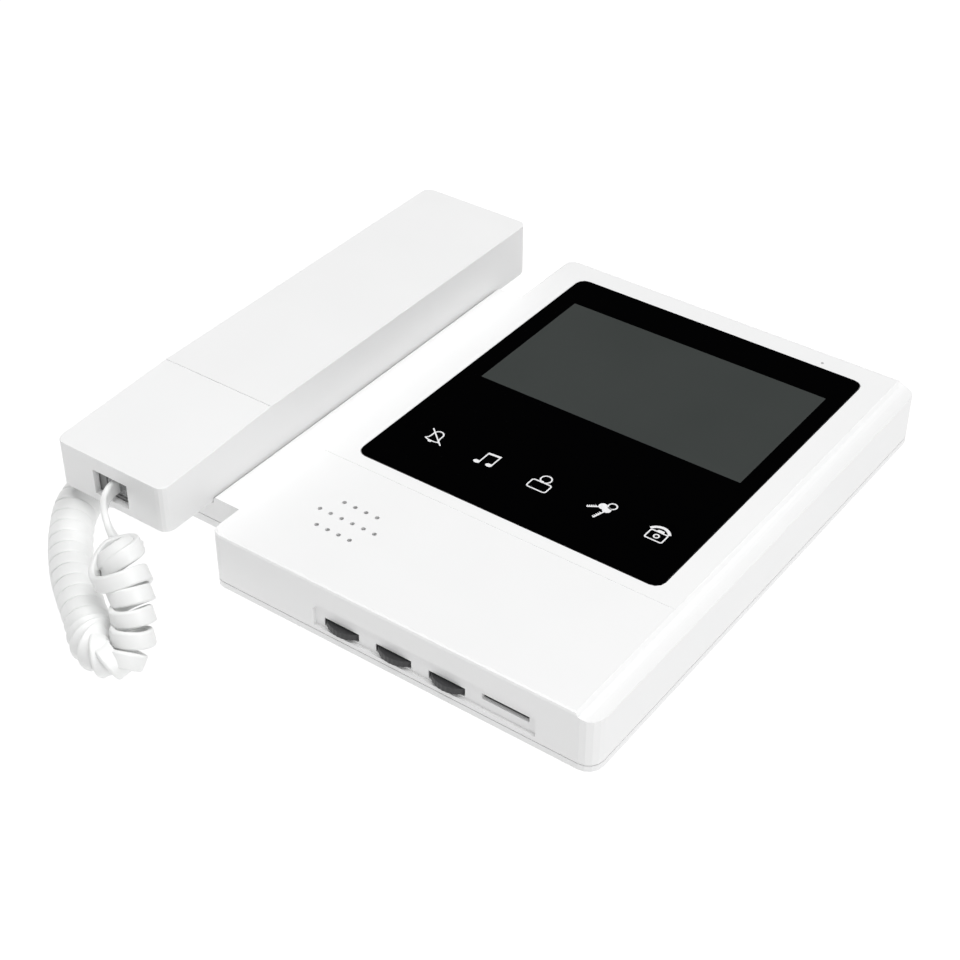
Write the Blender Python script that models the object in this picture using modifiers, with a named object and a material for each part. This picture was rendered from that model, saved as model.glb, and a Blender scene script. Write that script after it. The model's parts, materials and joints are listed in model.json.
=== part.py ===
"""Video intercom monitor with a corded handset, lying on its back.

Units are metres, +Z is up out of the screen, +X is to the right of the screen and +Y is towards
its top. The origin is at the middle of the back face of the whole object, cord left out.
"""

import math

import bmesh
import bpy
from mathutils import Matrix, Vector

MM = 0.001
GAP = 0.3 * MM

# Main casing
BODY_LEFT = -40.1 * MM
BODY_WIDTH = 133.2 * MM
BODY_RIGHT = BODY_LEFT + BODY_WIDTH
BODY_BOTTOM = -90.0 * MM
BODY_HEIGHT = 187.0 * MM
BODY_TOP = BODY_BOTTOM + BODY_HEIGHT
FACE_Z = 19.8 * MM
WALL = 2.2 * MM
FACE_WALL = 2.2 * MM
COVER_THICKNESS = 2.0 * MM
CORNER_RADIUS = 3.5 * MM
RIGHT_CORNER_RADIUS = 5.0 * MM
EDGE_RADIUS = 0.9 * MM
LIP_WIDTH = 1.2 * MM
LIP_HEIGHT = 2.0 * MM

# Shoulder along the right side of the face
COVE_START_X = BODY_RIGHT - 6.6 * MM
COVE_END_X = BODY_RIGHT - 2.4 * MM
SHOULDER_DROP = 1.7 * MM

# Cradle wing on the left of the casing
WING_LEFT = -89.0 * MM
WING_BOTTOM = -77.6 * MM
WING_TOP = 66.0 * MM
WING_UNDERSIDE_Z = 8.1 * MM
WING_COVER_HEIGHT = 2.6 * MM
WING_FLOOR = 1.2 * MM
WING_WALL = 2.0 * MM
CRADLE_Z = 17.4 * MM
CRADLE_EDGE_X = -49.7 * MM
CRADLE_CURVE = 1.2 * MM

# Glass front and screen
GLASS_LEFT = -29.4 * MM
GLASS_RIGHT = 78.2 * MM
GLASS_BOTTOM = -35.4 * MM
GLASS_TOP = 87.9 * MM
GLASS_THICKNESS = 1.2 * MM
GLASS_PROUD = 0.2 * MM
GLASS_CORNER = 3.5 * MM
SCREEN_CENTRE = (25.0 * MM, 46.35 * MM)
LCD_SIZE = (105.4 * MM, 67.2 * MM, 3.0 * MM)
TOUCH_SIZE = (100.0 * MM, 14.0 * MM, 1.2 * MM)
TOUCH_Y = -15.3 * MM

# Controls in the bottom edge
RECESS_X = (-1.8 * MM, 74.4 * MM)
RECESS_Z = (3.7 * MM, 11.8 * MM)
RECESS_DEPTH = 1.0 * MM
RECESS_CHAMFER = 1.8 * MM
WHEEL_COUNT = 3
WHEEL_FIRST_X = 7.7 * MM
WHEEL_PITCH = 18.4 * MM
WHEEL_RADIUS = 8.2 * MM
WHEEL_THICKNESS = 2.1 * MM
WHEEL_Z = 5.9 * MM
WHEEL_PROUD = 1.2 * MM
WHEEL_AXIS_Y = BODY_BOTTOM - WHEEL_PROUD + WHEEL_RADIUS
WHEEL_RIDGES = 36
WHEEL_RIDGE_DEPTH = 0.12 * MM
SLOT_SIZE = (12.4 * MM, 2.9 * MM)
PIN_RADIUS = 1.2 * MM
CARD_X = 64.1 * MM
CARD_Z = 7.9 * MM
CARD_SLOT = (15.6 * MM, 2.0 * MM)

# Sound openings in the face
SPEAKER_CENTRE = (-10.65 * MM, -63.3 * MM)
SPEAKER_ROWS = (4, 6, 4)
SPEAKER_PITCH = (4.06 * MM, 6.36 * MM)
SPEAKER_HOLE_RADIUS = 0.75 * MM
SPEAKER_RADIUS = 17.5 * MM
MIC_CENTRE = (62.0 * MM, 90.85 * MM)
SEAM_Y = -40.45 * MM
SEAM_WIDTH = 0.2 * MM
SEAM_DEPTH = 0.12 * MM

# Handset
HANDSET_LEFT = -93.1 * MM
HANDSET_RIGHT = -50.1 * MM
HANDSET_BOTTOM = -97.0 * MM
HANDSET_TOP = 84.1 * MM
HANDSET_Z = 17.8 * MM
HANDSET_HIGH_Z = 36.5 * MM
HANDSET_CREASE_Z = 36.2 * MM
HANDSET_LOW_Z = 33.7 * MM
CREASE_Y = -49.6 * MM
HANDSET_WALL = 2.1 * MM
HANDSET_CORNER = 3.2 * MM
HANDSET_EDGE = 1.2 * MM
HANDSET_X = (HANDSET_LEFT + HANDSET_RIGHT) / 2
EARPIECE_Y = 60.0 * MM
MOUTHPIECE_Y = -74.0 * MM
HANDSET_OPENING = (13.6 * MM, 8.6 * MM)
HANDSET_OPENING_Z = 24.6 * MM
RIB_YS = (-50.0 * MM, 38.0 * MM)
RIB_SIZE = (17.0 * MM, 3.0 * MM, 1.6 * MM)

# Hook switch in the cradle
HOOK_Y = 2.0 * MM
HOOK_SIZE = (9.0 * MM, 6.0 * MM)
HOOK_FLANGE = 1.2 * MM

# Cord: straight leads and the outer shape of its curly part
BASE_JACK_X = -76.0 * MM
BASE_JACK_Z = 12.6 * MM
PLUG_WIDTH = 7.6 * MM
LEAD_RADIUS = 1.2 * MM
COIL_RADIUS = 6.2 * MM
COIL_STEP = 3.2 * MM
COIL_ROUTE = (
    (-94.8, -81.5, 7.2),
    (-94.6, -86.0, 6.9),
    (-93.6, -90.4, 6.6),
    (-91.2, -95.4, 6.5),
    (-87.7, -99.9, 6.5),
    (-82.3, -106.0, 6.5),
    (-75.4, -112.6, 6.5),
    (-68.2, -118.5, 6.5),
    (-60.8, -123.5, 6.5),
    (-52.7, -128.6, 6.5),
    (-46.4, -132.5, 6.5),
)
COIL_RISE_ROUTE = (
    (-46.1, -132.7, 6.5),
    (-44.4, -133.7, 6.5),
    (-39.8, -135.6, 6.5),
    (-35.2, -134.8, 6.6),
    (-32.9, -132.0, 7.4),
    (-33.5, -129.5, 10.5),
    (-36.2, -126.2, 14.5),
    (-38.6, -123.6, 18.0),
    (-42.5, -120.2, 21.0),
    (-46.1, -117.8, 23.0),
    (-50.0, -115.9, 24.6),
)
BASE_LEAD_ROUTE = (
    (-76.0, -80.2, 12.6),
    (-76.6, -82.4, 12.2),
    (-78.8, -83.6, 10.6),
    (-82.4, -82.6, 8.4),
    (-86.6, -80.6, 6.6),
    (-90.6, -79.6, 6.6),
    (-94.2, -79.4, 7.2),
)
HANDSET_LEAD_ROUTE = (
    (-71.6, -94.8, 24.6),
    (-71.2, -97.6, 24.7),
    (-68.6, -102.4, 25.2),
    (-64.7, -106.5, 26.1),
    (-61.3, -109.1, 25.8),
    (-58.6, -110.8, 24.3),
    (-56.6, -111.9, 22.4),
    (-54.4, -112.9, 20.8),
)


# Scene, materials and small builders

def clear_scene():
    for obj in list(bpy.data.objects):
        bpy.data.objects.remove(obj, do_unlink=True)


def new_collection(name):
    collection = bpy.data.collections.new(name)
    bpy.context.scene.collection.children.link(collection)
    return collection


def make_material(name, colour, roughness=0.5, metallic=0.0):
    material = bpy.data.materials.new(name)
    material.use_nodes = True
    shader = material.node_tree.nodes["Principled BSDF"]
    shader.inputs["Base Color"].default_value = (*colour, 1.0)
    shader.inputs["Roughness"].default_value = roughness
    shader.inputs["Metallic"].default_value = metallic
    return material


clear_scene()
PARTS = new_collection("video_intercom_monitor")
CUTTERS = new_collection("cutters")
CUTTERS.hide_render = True

WHITE = make_material("white_abs", (0.86, 0.86, 0.85), 0.35)
BLACK_GLASS = make_material("black_glass", (0.004, 0.004, 0.005), 0.06)
SCREEN = make_material("screen_glass", (0.045, 0.05, 0.048), 0.2)
BOARD = make_material("circuit_board", (0.02, 0.16, 0.06), 0.5)
DARK_PLASTIC = make_material("dark_plastic", (0.03, 0.03, 0.033), 0.45)
GREY_PLASTIC = make_material("grey_plastic", (0.3, 0.3, 0.3), 0.5)
CLEAR_PLASTIC = make_material("clear_plastic", (0.75, 0.75, 0.73), 0.15)
STEEL = make_material("plated_steel", (0.6, 0.6, 0.6), 0.3, 1.0)
CORD_WHITE = make_material("white_cord", (0.85, 0.85, 0.84), 0.4)
GREEN_TERMINAL = make_material("green_terminal", (0.05, 0.35, 0.15), 0.5)
PAPER_CONE = make_material("paper_cone", (0.05, 0.05, 0.05), 0.8)


def place(obj, cutter=False):
    """Puts an object in its collection, and hides it from the render if it is a cutter."""
    (CUTTERS if cutter else PARTS).objects.link(obj)
    if cutter:
        obj.hide_render = True
        obj.display_type = "WIRE"
    return obj


def mesh_object(name, bm, material, cutter=False):
    mesh = bpy.data.meshes.new(name)
    bm.to_mesh(mesh)
    bm.free()
    obj = bpy.data.objects.new(name, mesh)
    if material is not None:
        mesh.materials.append(material)
    return place(obj, cutter)


def bevel(obj, width, segments=2):
    modifier = obj.modifiers.new("edge_bevel", "BEVEL")
    modifier.width = width
    modifier.segments = segments
    modifier.limit_method = "ANGLE"
    modifier.angle_limit = math.radians(30)
    return obj


def round_upright_edges(bm, radius, segments, side=0):
    """Rounds the upright edges: all of them, or those on the -1 (left) or +1 (right) side only."""
    upright = [e for e in bm.edges
               if abs((e.verts[0].co - e.verts[1].co).normalized().z) > 0.99
               and (side == 0 or e.verts[0].co.x * side > 0)]
    bmesh.ops.bevel(bm, geom=upright, offset=radius, segments=segments, profile=0.5, affect="EDGES")


def round_top_edges(bm, radius, segments):
    top_z = max(v.co.z for v in bm.verts)
    top = [e for e in bm.edges if min(v.co.z for v in e.verts) > top_z - 1e-6]
    bmesh.ops.bevel(bm, geom=top, offset=radius, segments=segments, profile=0.5, affect="EDGES")


def box(name, low, high, material=None, cutter=False, corner=0.0, right_corner=0.0, top_edge=0.0,
        segments=3):
    """A box between two corners, with its origin at its middle. The upright edges are rounded."""
    low, high = Vector(low), Vector(high)
    bm = bmesh.new()
    bmesh.ops.create_cube(bm, size=1.0)
    bmesh.ops.scale(bm, vec=high - low, verts=bm.verts)
    if right_corner:
        round_upright_edges(bm, corner, segments, side=-1)
        round_upright_edges(bm, right_corner, segments + 1, side=1)
    elif corner:
        round_upright_edges(bm, corner, segments)
    if top_edge:
        round_top_edges(bm, top_edge, 2)
    obj = mesh_object(name, bm, material, cutter)
    obj.location = (low + high) / 2
    return obj


def cylinder(name, centre, radius, low_z, high_z, material=None, cutter=False, sides=20):
    """An upright cylinder, with its origin at the middle of its lower end."""
    bm = bmesh.new()
    height = high_z - low_z
    lift = Matrix.Translation((0, 0, height / 2))
    bmesh.ops.create_cone(bm, cap_ends=True, segments=sides, radius1=radius, radius2=radius,
                          depth=height, matrix=lift)
    obj = mesh_object(name, bm, material, cutter)
    obj.location = (centre[0], centre[1], low_z)
    return smooth(obj)


def cylinders(name, centres, radius, low_z, high_z, cutter=True, sides=12):
    """Several equal upright cylinders in one cutter."""
    bm = bmesh.new()
    for x, y in centres:
        spot = Matrix.Translation((x, y, (low_z + high_z) / 2))
        bmesh.ops.create_cone(bm, cap_ends=True, segments=sides, radius1=radius, radius2=radius,
                              depth=high_z - low_z, matrix=spot)
    return mesh_object(name, bm, None, cutter)


def smooth(obj):
    obj.data.shade_smooth()
    obj.data.set_sharp_from_angle(angle=math.radians(35))
    return obj


def turned(name, profile, material, centre, steps=24):
    """A turned piece from (radius, height) points that run down its outer side."""
    bm = bmesh.new()
    verts = [bm.verts.new((radius, 0.0, height)) for radius, height in profile]
    for first, second in zip(verts, verts[1:]):
        bm.edges.new((first, second))
    obj = mesh_object(name, bm, material)
    obj.location = (centre[0], centre[1], 0.0)
    screw = obj.modifiers.new("turn", "SCREW")
    screw.steps = steps
    screw.render_steps = steps
    screw.use_merge_vertices = True
    screw.merge_threshold = 0.00001
    return obj


def from_curve(obj, name, material, cutter):
    """Turns a curve object into a welded mesh object of the same name and place."""
    bpy.context.view_layer.update()
    graph = bpy.context.evaluated_depsgraph_get()
    mesh = bpy.data.meshes.new_from_object(obj.evaluated_get(graph))
    bm = bmesh.new()
    bm.from_mesh(mesh)
    bmesh.ops.remove_doubles(bm, verts=bm.verts, dist=0.000001)
    bmesh.ops.recalc_face_normals(bm, faces=bm.faces)
    bm.to_mesh(mesh)
    bm.free()
    matrix = obj.matrix_world.copy()
    bpy.data.objects.remove(obj, do_unlink=True)
    solid = bpy.data.objects.new(name, mesh)
    solid.matrix_world = matrix
    mesh.materials.clear()
    if material is not None:
        mesh.materials.append(material)
    return place(solid, cutter)


def prism(name, outline, low, high, axis, material=None, cutter=False):
    """An outline pulled along X or Y. It holds (y, z) points for X and (x, z) points for Y."""
    curve = bpy.data.curves.new(name + "_outline", "CURVE")
    curve.dimensions = "2D"
    curve.fill_mode = "BOTH"
    curve.extrude = (high - low) / 2
    spline = curve.splines.new("POLY")
    spline.points.add(len(outline) - 1)
    for point, (u, v) in zip(spline.points, outline):
        point.co = (u, v, 0.0, 1.0)
    spline.use_cyclic_u = True
    obj = bpy.data.objects.new(name + "_outline", curve)
    place(obj, cutter)
    middle = (low + high) / 2
    if axis == "X":
        turn = Matrix(((0, 0, 1, middle), (1, 0, 0, 0), (0, 1, 0, 0), (0, 0, 0, 1)))
    else:
        turn = Matrix(((1, 0, 0, 0), (0, 0, -1, middle), (0, 1, 0, 0), (0, 0, 0, 1)))
    obj.matrix_world = turn
    return from_curve(obj, name, material, cutter)


def smooth_route(points, spacing):
    """Points in metres along a Catmull-Rom curve through a route given in millimetres."""
    knots = [Vector(p) * MM for p in points]
    knots = [2 * knots[0] - knots[1]] + knots + [2 * knots[-1] - knots[-2]]
    dense = []
    for a, b, c, d in zip(knots, knots[1:], knots[2:], knots[3:]):
        for step in range(20):
            t = step / 20
            dense.append(0.5 * (2 * b + (c - a) * t + (2 * a - 5 * b + 4 * c - d) * t ** 2
                                + (3 * b - a - 3 * c + d) * t ** 3))
    dense.append(knots[-2])
    total = sum((q - p).length for p, q in zip(dense, dense[1:]))
    count = max(3, round(total / spacing))
    route, walked, wanted = [dense[0]], 0.0, 1
    for p, q in zip(dense, dense[1:]):
        walked += (q - p).length
        if wanted < count and walked >= wanted * total / count:
            route.append(q)
            wanted += 1
    route.append(dense[-1])
    return route


def tube(name, route, radius, material, bevel_resolution=2):
    curve = bpy.data.curves.new(name, "CURVE")
    curve.dimensions = "3D"
    curve.bevel_depth = radius
    curve.bevel_resolution = bevel_resolution
    curve.use_fill_caps = True
    spline = curve.splines.new("POLY")
    spline.points.add(len(route) - 1)
    for point, spot in zip(spline.points, route):
        point.co = (*spot, 1.0)
    curve.materials.append(material)
    return place(bpy.data.objects.new(name, curve))


def boolean(obj, other, operation):
    modifier = obj.modifiers.new(operation.lower(), "BOOLEAN")
    modifier.operation = operation
    modifier.object = other
    modifier.solver = "EXACT"
    return obj


def cut(obj, *cutters):
    for cutter in cutters:
        boolean(obj, cutter, "DIFFERENCE")
    return obj


def add(obj, *others):
    for other in others:
        boolean(obj, other, "UNION")
    return obj


def cutter_box(name, low, high, corner=0.0):
    return box(name, low, high, cutter=True, corner=corner)


def arc(centre, radius, start, end, steps):
    """Points on an arc in the plane of an outline, angles in degrees."""
    angles = [math.radians(start + (end - start) * i / steps) for i in range(steps + 1)]
    return [(centre[0] + radius * math.cos(a), centre[1] + radius * math.sin(a)) for a in angles]


# Casing

CASE_SCREWS = (
    (BODY_LEFT + 8 * MM, BODY_BOTTOM + 8 * MM),
    (BODY_RIGHT - 8 * MM, BODY_BOTTOM + 8 * MM),
    (BODY_LEFT + 8 * MM, BODY_TOP - 8 * MM),
    (BODY_RIGHT - 8 * MM, BODY_TOP - 8 * MM),
)
WING_SCREWS = ((-84.0 * MM, -28.0 * MM), (-84.0 * MM, 24.0 * MM))
BOARD_SCREWS = (
    (-14.0 * MM, -22.0 * MM),
    (66.0 * MM, -22.0 * MM),
    (-14.0 * MM, 82.0 * MM),
    (66.0 * MM, 82.0 * MM),
)
BOSS_RADIUS = 3.2 * MM
SCREW_RADIUS = 1.1 * MM
SCREW_HEAD_RADIUS = 2.4 * MM
SCREW_HEAD = 1.4 * MM
JOINT_Z = COVER_THICKNESS + GAP
WING_FLOOR_Z = WING_UNDERSIDE_Z + WING_FLOOR
WING_COVER_TOP_Z = WING_UNDERSIDE_Z + WING_COVER_HEIGHT
WING_JOINT_Z = WING_COVER_TOP_Z + GAP
CAVITY_Z = FACE_Z - FACE_WALL


def speaker_holes():
    centres = []
    for row, count in enumerate(SPEAKER_ROWS):
        for i in range(count):
            x = SPEAKER_CENTRE[0] + (i - (count - 1) / 2) * SPEAKER_PITCH[0]
            y = SPEAKER_CENTRE[1] + (1 - row) * SPEAKER_PITCH[1]
            centres.append((x, y))
    return centres


def wheel_xs():
    return [WHEEL_FIRST_X + i * WHEEL_PITCH for i in range(WHEEL_COUNT)]


def wing_outline():
    """The cradle wing seen along Y: level with the face beside the casing, lower under the handset."""
    inner_x = BODY_LEFT + WALL - GAP
    shoulder = arc((CRADLE_EDGE_X + CRADLE_CURVE, FACE_Z - CRADLE_CURVE), CRADLE_CURVE, 90, 180, 4)
    return [
        (WING_LEFT, WING_JOINT_Z),
        (inner_x, WING_JOINT_Z),
        (inner_x, FACE_Z),
        *shoulder,
        (CRADLE_EDGE_X, CRADLE_Z),
        (WING_LEFT, CRADLE_Z),
    ]


def make_front_housing():
    housing = box("front_housing", (BODY_LEFT, BODY_BOTTOM, JOINT_Z), (BODY_RIGHT, BODY_TOP, FACE_Z),
                  WHITE, corner=CORNER_RADIUS, right_corner=RIGHT_CORNER_RADIUS,
                  top_edge=EDGE_RADIUS)
    cove_radius = COVE_END_X - COVE_START_X
    shoulder_z = FACE_Z - SHOULDER_DROP
    cove = [(x, FACE_Z - SHOULDER_DROP * math.sin(math.acos((COVE_END_X - x) / cove_radius)))
            for x in [COVE_START_X + cove_radius * i / 4 for i in range(5)]]
    outside_x = BODY_RIGHT + 5 * MM
    above_z = FACE_Z + 5 * MM
    shoulder = prism("shoulder_cutter", [(COVE_START_X, above_z)] + cove
                     + [(outside_x, shoulder_z), (outside_x, above_z)],
                     BODY_BOTTOM - 5 * MM, BODY_TOP + 5 * MM, "Y", cutter=True)
    wing = prism("wing_block", wing_outline(), WING_BOTTOM, WING_TOP, "Y", cutter=True)
    cavity = prism("casing_cavity", [
        (BODY_LEFT + WALL, -5 * MM),
        (BODY_RIGHT - WALL, -5 * MM),
        (BODY_RIGHT - WALL, CAVITY_Z - 1.8 * MM),
        (COVE_START_X - 3 * MM, CAVITY_Z - 1.8 * MM),
        (COVE_START_X - 4.5 * MM, CAVITY_Z),
        (BODY_LEFT + WALL, CAVITY_Z),
    ], BODY_BOTTOM + WALL, BODY_TOP - WALL, "Y", cutter=True)
    wing_cavity = cutter_box("wing_cavity",
                             (WING_LEFT + WING_WALL, WING_BOTTOM + WING_WALL, -5 * MM),
                             (BODY_LEFT + WALL + 2 * MM, WING_TOP - WING_WALL,
                              CRADLE_Z - WING_WALL))
    side_clearance = cutter_box("step_wall_clearance",
                                (BODY_LEFT - 3 * MM, WING_BOTTOM - GAP, -5 * MM),
                                (BODY_LEFT + WALL + 1 * MM, WING_TOP + GAP, WING_JOINT_Z))
    add(cut(housing, shoulder), wing)
    cut(housing, cavity, wing_cavity, side_clearance)
    ribs = [box(f"cradle_rib_{i + 1}",
                (HANDSET_X - RIB_SIZE[0] / 2, y - RIB_SIZE[1] / 2, CRADLE_Z - 1 * MM),
                (HANDSET_X + RIB_SIZE[0] / 2, y + RIB_SIZE[1] / 2, CRADLE_Z + RIB_SIZE[2]),
                cutter=True) for i, y in enumerate(RIB_YS)]
    bosses = [cylinder(f"case_boss_{i + 1}", centre, BOSS_RADIUS, JOINT_Z + 2 * MM,
                       CAVITY_Z + 0.5 * MM, cutter=True) for i, centre in enumerate(CASE_SCREWS)]
    wing_bosses = [cylinder(f"wing_boss_{i + 1}", centre, 2.6 * MM, WING_JOINT_Z + 0.4 * MM,
                            CRADLE_Z - 1 * MM, cutter=True)
                   for i, centre in enumerate(WING_SCREWS)]
    add(housing, *ribs, *bosses, *wing_bosses)
    bores = cylinders("case_boss_bores", CASE_SCREWS, SCREW_RADIUS + GAP, 0, 13 * MM)
    wing_bores = cylinders("wing_boss_bores", WING_SCREWS, SCREW_RADIUS + GAP, 0, 15 * MM)
    cut(housing, bores, wing_bores)
    cut_front_openings(housing)
    return housing


def cut_front_openings(housing):
    """The glass seat, screen and touch windows, sound holes, controls recess and jack opening."""
    seat = cutter_box("glass_seat", (GLASS_LEFT - GAP, GLASS_BOTTOM - GAP, glass_low() - GAP),
                      (GLASS_RIGHT + GAP, GLASS_TOP + GAP, FACE_Z + 2 * MM), corner=GLASS_CORNER)
    half_x, half_y = LCD_SIZE[0] / 2 + GAP, LCD_SIZE[1] / 2 + GAP
    screen = cutter_box("screen_window", (SCREEN_CENTRE[0] - half_x, SCREEN_CENTRE[1] - half_y,
                                          CAVITY_Z - 2 * MM),
                        (SCREEN_CENTRE[0] + half_x, SCREEN_CENTRE[1] + half_y, FACE_Z))
    touch = cutter_box("touch_window",
                       (SCREEN_CENTRE[0] - TOUCH_SIZE[0] / 2 - GAP,
                        TOUCH_Y - TOUCH_SIZE[1] / 2 - GAP, CAVITY_Z - 2 * MM),
                       (SCREEN_CENTRE[0] + TOUCH_SIZE[0] / 2 + GAP,
                        TOUCH_Y + TOUCH_SIZE[1] / 2 + GAP, FACE_Z))
    holes = cylinders("speaker_holes", speaker_holes(), SPEAKER_HOLE_RADIUS, 10 * MM, 30 * MM,
                      sides=8)
    mic = cylinders("microphone_hole", [MIC_CENTRE], 0.5 * MM, 10 * MM, 30 * MM, sides=8)
    seam = cutter_box("face_seam", (BODY_LEFT + 2.2 * MM, SEAM_Y - SEAM_WIDTH / 2, FACE_Z - SEAM_DEPTH),
                      (COVE_START_X + 0.2 * MM, SEAM_Y + SEAM_WIDTH / 2, FACE_Z + 1 * MM))
    low_z, high_z = RECESS_Z
    recess = prism("controls_recess", [
        (RECESS_X[0], low_z),
        (RECESS_X[1], low_z),
        (RECESS_X[1], high_z - RECESS_CHAMFER),
        (RECESS_X[1] - RECESS_CHAMFER, high_z),
        (RECESS_X[0] + RECESS_CHAMFER, high_z),
        (RECESS_X[0], high_z - RECESS_CHAMFER),
    ], BODY_BOTTOM - 3 * MM, BODY_BOTTOM + RECESS_DEPTH, "Y", cutter=True)
    cut(housing, seat, screen, touch, holes, mic, seam, recess)
    for i, x in enumerate(wheel_xs()):
        for part, half_width, low_y in (("slot", SLOT_SIZE[0] / 2, BODY_BOTTOM - 3 * MM),
                                        ("pocket", 7.2 * MM, BODY_BOTTOM + 1.4 * MM)):
            cut(housing, cutter_box(f"wheel_{part}_{i + 1}",
                                    (x - half_width, low_y, WHEEL_Z - SLOT_SIZE[1] / 2),
                                    (x + half_width, BODY_BOTTOM + WALL + 1 * MM,
                                     WHEEL_Z + SLOT_SIZE[1] / 2)))
    cut(housing, cutter_box("card_slot",
                            (CARD_X - CARD_SLOT[0] / 2, BODY_BOTTOM - 3 * MM,
                             CARD_Z - CARD_SLOT[1] / 2),
                            (CARD_X + CARD_SLOT[0] / 2, BODY_BOTTOM + WALL + 1 * MM,
                             CARD_Z + CARD_SLOT[1] / 2)))
    cut(housing, base_jack_cutter("base_jack_opening"))
    cut(housing, cutter_box("hook_slot",
                            (HANDSET_X - HOOK_SIZE[0] / 2 - GAP, HOOK_Y - HOOK_SIZE[1] / 2 - GAP,
                             CRADLE_Z - 4 * MM),
                            (HANDSET_X + HOOK_SIZE[0] / 2 + GAP, HOOK_Y + HOOK_SIZE[1] / 2 + GAP,
                             CRADLE_Z + 3 * MM)))


def base_jack_cutter(name):
    return cutter_box(name, (BASE_JACK_X - 4.3 * MM, WING_BOTTOM - 3 * MM, BASE_JACK_Z - 2.4 * MM),
                      (BASE_JACK_X + 4.3 * MM, WING_BOTTOM + WING_WALL + 1 * MM,
                       BASE_JACK_Z + 2.4 * MM))


def keyhole_cutters():
    """Two keyhole slots for hanging the casing on a wall."""
    cutters = []
    for i, (x, y) in enumerate(((0, 60), (53, 60))):
        x, y = x * MM, y * MM
        eye = cylinder(f"keyhole_eye_{i + 1}", (x, y), 4.0 * MM, -2 * MM, 4 * MM, cutter=True)
        neck = cutter_box(f"keyhole_neck_{i + 1}", (x - 2 * MM, y, -2 * MM),
                          (x + 2 * MM, y + 9 * MM, 4 * MM))
        cutters += [eye, neck]
    return cutters


def make_rear_cover():
    cover = box("rear_cover", (BODY_LEFT, BODY_BOTTOM, 0), (BODY_RIGHT, BODY_TOP, COVER_THICKNESS),
                WHITE, corner=CORNER_RADIUS, right_corner=RIGHT_CORNER_RADIUS)
    inset = WALL + GAP
    lip = box("cover_lip", (BODY_LEFT + inset, BODY_BOTTOM + inset, 1 * MM),
              (BODY_RIGHT - inset, BODY_TOP - inset, COVER_THICKNESS + LIP_HEIGHT), cutter=True)
    inset += LIP_WIDTH
    lip_hollow = cutter_box("cover_lip_hollow",
                            (BODY_LEFT + inset, BODY_BOTTOM + inset, COVER_THICKNESS),
                            (BODY_RIGHT - inset, BODY_TOP - inset, COVER_THICKNESS + 5 * MM))
    step = box("cover_step_wall", (BODY_LEFT, WING_BOTTOM, 1 * MM),
               (BODY_LEFT + 2 * MM, WING_TOP, WING_COVER_TOP_Z), cutter=True)
    wing = box("wing_cover_plate", (WING_LEFT, WING_BOTTOM, WING_UNDERSIDE_Z),
               (BODY_LEFT + 1 * MM, WING_TOP, WING_COVER_TOP_Z), cutter=True)
    pocket = cutter_box("wing_cover_pocket",
                        (WING_LEFT + WING_WALL, WING_BOTTOM + WING_WALL, WING_FLOOR_Z),
                        (BODY_LEFT + 5 * MM, WING_TOP - WING_WALL, WING_COVER_TOP_Z + 1 * MM))
    posts = [cylinder(f"board_post_{i + 1}", centre, 3.0 * MM, 1 * MM, 7.7 * MM, cutter=True)
             for i, centre in enumerate(BOARD_SCREWS)]
    cut(add(cover, lip), lip_hollow)
    cut(add(cover, step, wing), pocket, base_jack_cutter("cover_jack_opening"))
    add(cover, *posts)
    cut(cover, cylinders("board_post_bores", BOARD_SCREWS, SCREW_RADIUS + GAP, 2.5 * MM, 9 * MM))
    cut(cover, cylinders("case_screw_holes", CASE_SCREWS, SCREW_RADIUS + GAP, -2 * MM, 5 * MM))
    cut(cover, cylinders("case_screw_seats", CASE_SCREWS, SCREW_HEAD_RADIUS + GAP,
                         -2 * MM, SCREW_HEAD + 0.1 * MM, sides=16))
    cut(cover, cylinders("wing_screw_holes", WING_SCREWS, SCREW_RADIUS + GAP, 5 * MM, 12 * MM))
    cut(cover, cutter_box("terminal_window", (10 * MM, 30 * MM, -2 * MM),
                          (44 * MM, 42 * MM, 4 * MM)))
    cut(cover, *keyhole_cutters())
    return cover


def glass_low():
    return FACE_Z + GLASS_PROUD - GLASS_THICKNESS


def make_front_glass():
    return box("front_glass", (GLASS_LEFT, GLASS_BOTTOM, glass_low()),
               (GLASS_RIGHT, GLASS_TOP, FACE_Z + GLASS_PROUD), BLACK_GLASS,
               corner=GLASS_CORNER - GAP)


def make_lcd_module():
    top_z = glass_low() - GAP
    half_x, half_y = LCD_SIZE[0] / 2, LCD_SIZE[1] / 2
    return box("lcd_module", (SCREEN_CENTRE[0] - half_x, SCREEN_CENTRE[1] - half_y,
                              top_z - LCD_SIZE[2]),
               (SCREEN_CENTRE[0] + half_x, SCREEN_CENTRE[1] + half_y, top_z), SCREEN)


def make_touch_board():
    top_z = glass_low() - GAP
    half_x, half_y = TOUCH_SIZE[0] / 2, TOUCH_SIZE[1] / 2
    return box("touch_key_board", (SCREEN_CENTRE[0] - half_x, TOUCH_Y - half_y,
                                   top_z - TOUCH_SIZE[2]),
               (SCREEN_CENTRE[0] + half_x, TOUCH_Y + half_y, top_z), BOARD)


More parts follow.
